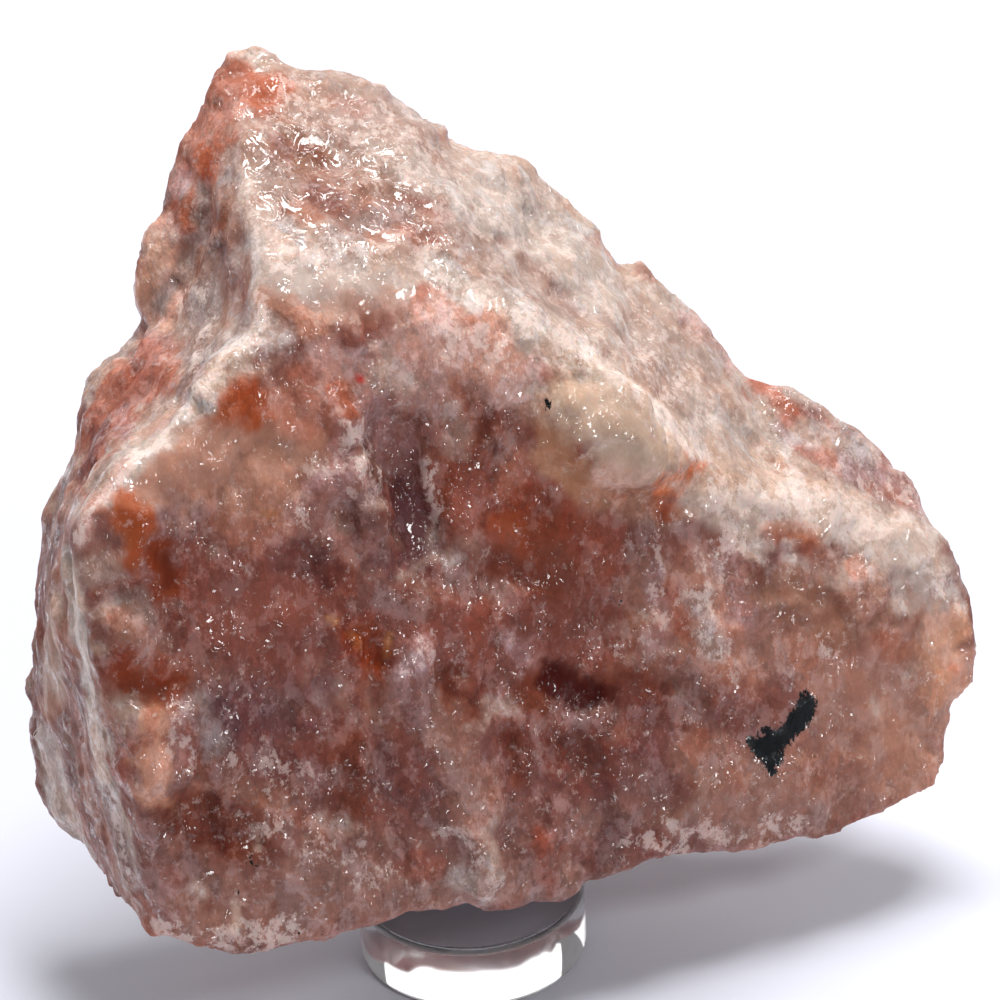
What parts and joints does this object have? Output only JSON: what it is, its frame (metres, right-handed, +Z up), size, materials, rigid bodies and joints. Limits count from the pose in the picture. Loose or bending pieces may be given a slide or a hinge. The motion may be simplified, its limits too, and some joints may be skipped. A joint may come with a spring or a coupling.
{
  "type": "sunstone specimen on a display disc",
  "caption": "Rough broken lump of natural sunstone that rests, tilted, on a small clear display disc, for showing on a shelf or table.",
  "frame": {"origin": "middle of the base of the box around the stone and the disc, on the surface that the disc stands on", "axes": "+X to the viewer's right, along the longest extent; +Y away from the viewer, along the shortest extent; +Z up"},
  "size_m": [0.0788, 0.0422, 0.0743],
  "materials": {
    "sunstone": "rough broken cleavage with a glossy, damp-looking surface; mottled salmon, rust, cream and lilac grey",
    "clear_acrylic": "polished, clear"
  },
  "bodies": {
    "root": {"sunstone": "sunstone", "disc_stand": "clear_acrylic"}
  },
  "joints": []
}
